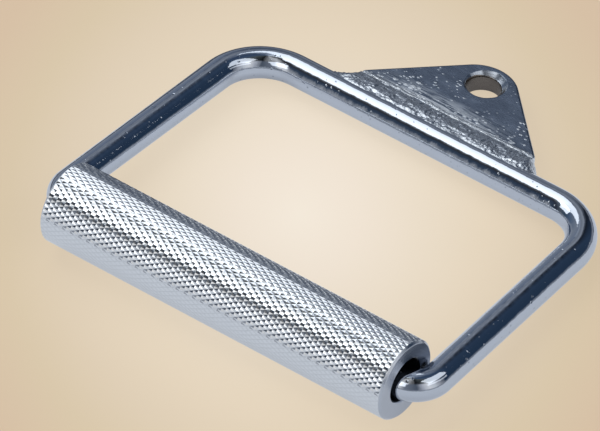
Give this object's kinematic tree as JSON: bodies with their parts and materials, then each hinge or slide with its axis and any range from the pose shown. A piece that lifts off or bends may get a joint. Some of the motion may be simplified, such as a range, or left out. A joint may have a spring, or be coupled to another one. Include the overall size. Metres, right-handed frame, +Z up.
{
  "type": "d handle",
  "caption": "Chrome-plated steel D handle: a bent round-bar frame, a loose knurled grip sleeve that spins on it, and a welded eye plate to clip it on by.",
  "frame": {"origin": "on the floor, under the middle of the handle's bounding box, with the handle lying down as it comes to rest", "axes": "+X along the grip, +Y from the grip to the eye, +Z up. The frame's plane dips 2.7 degrees towards the eye, because the grip sleeve is thicker than the plate."},
  "size_m": [0.143, 0.1444, 0.0254],
  "materials": {
    "chromed_bar": "polished chrome plate, slightly pitted",
    "chromed_plate": "chrome plate over unpolished rolled plate",
    "chromed_weld": "chrome plate over a rough weld bead",
    "knurled_sleeve": "chrome plate over a fine diamond knurl"
  },
  "bodies": {
    "frame": {"frame_bar": "chromed_bar", "eye_plate": "chromed_plate", "front_weld_bead": "chromed_weld", "rear_weld_bead": "chromed_weld"},
    "grip": {"grip_sleeve": "knurled_sleeve"}
  },
  "joints": [
    {"name": "grip_spin", "type": "hinge", "parent": "frame", "child": "grip", "pos_m": [0, -0.05951, 0.0127], "axis": [1, 0, 0], "continuous": true}
  ]
}
